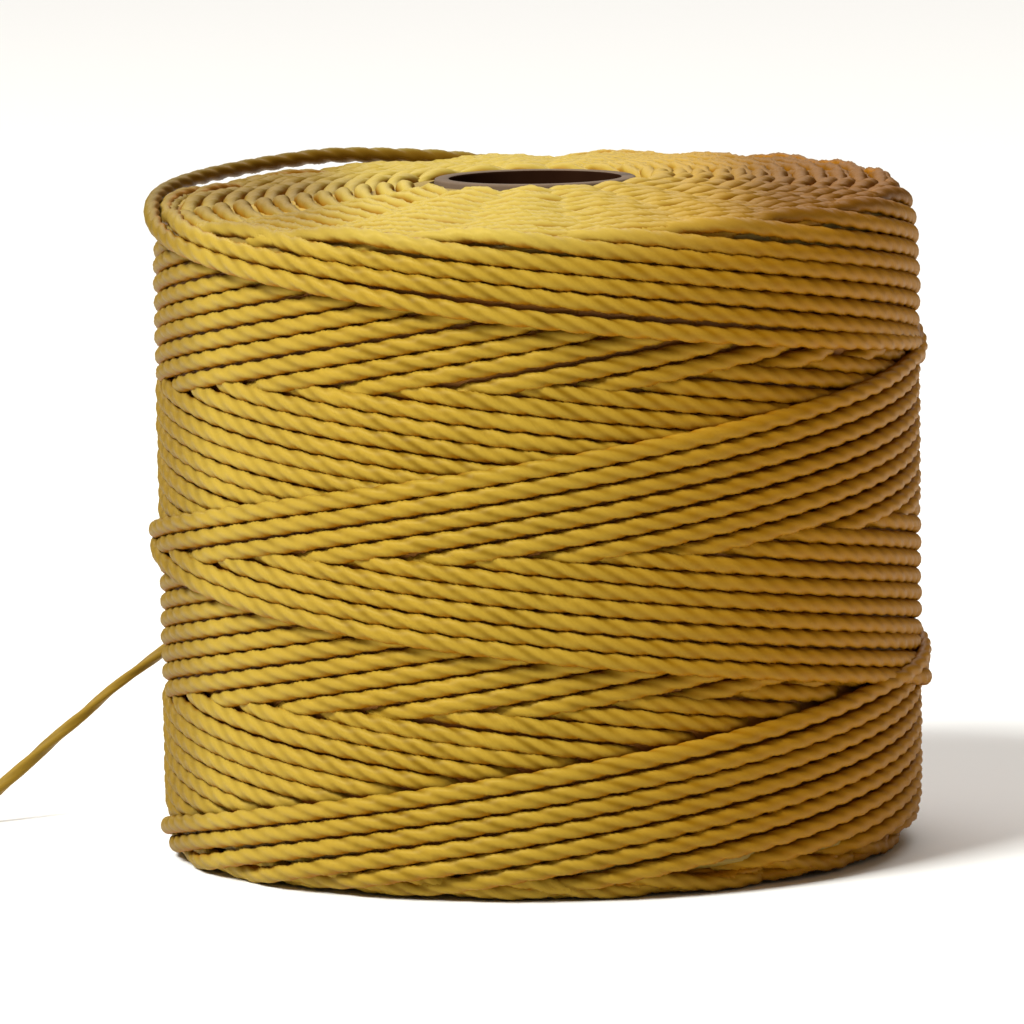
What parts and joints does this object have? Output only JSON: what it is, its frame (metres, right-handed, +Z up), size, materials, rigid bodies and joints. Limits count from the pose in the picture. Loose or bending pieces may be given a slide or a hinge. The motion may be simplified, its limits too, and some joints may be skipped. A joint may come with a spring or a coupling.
{
  "type": "bobbin of beading cord",
  "caption": "Bobbin of fine golden three-ply nylon beading cord, cross-wound on a short cardboard tube, with its end hanging loose.",
  "frame": {"origin": "middle of the lower end that the bobbin stands on, on the tube's axis", "axes": "+Z up along the tube's axis, -Y towards the viewer, -X towards the loose end"},
  "size_m": [0.0608, 0.0389, 0.0338],
  "materials": {
    "nylon_cord": "satin twisted filament",
    "cardboard": "matt rolled paper"
  },
  "bodies": {
    "root": {"core_tube": "cardboard", "winding": "nylon_cord", "loose_end": "nylon_cord"}
  },
  "joints": []
}
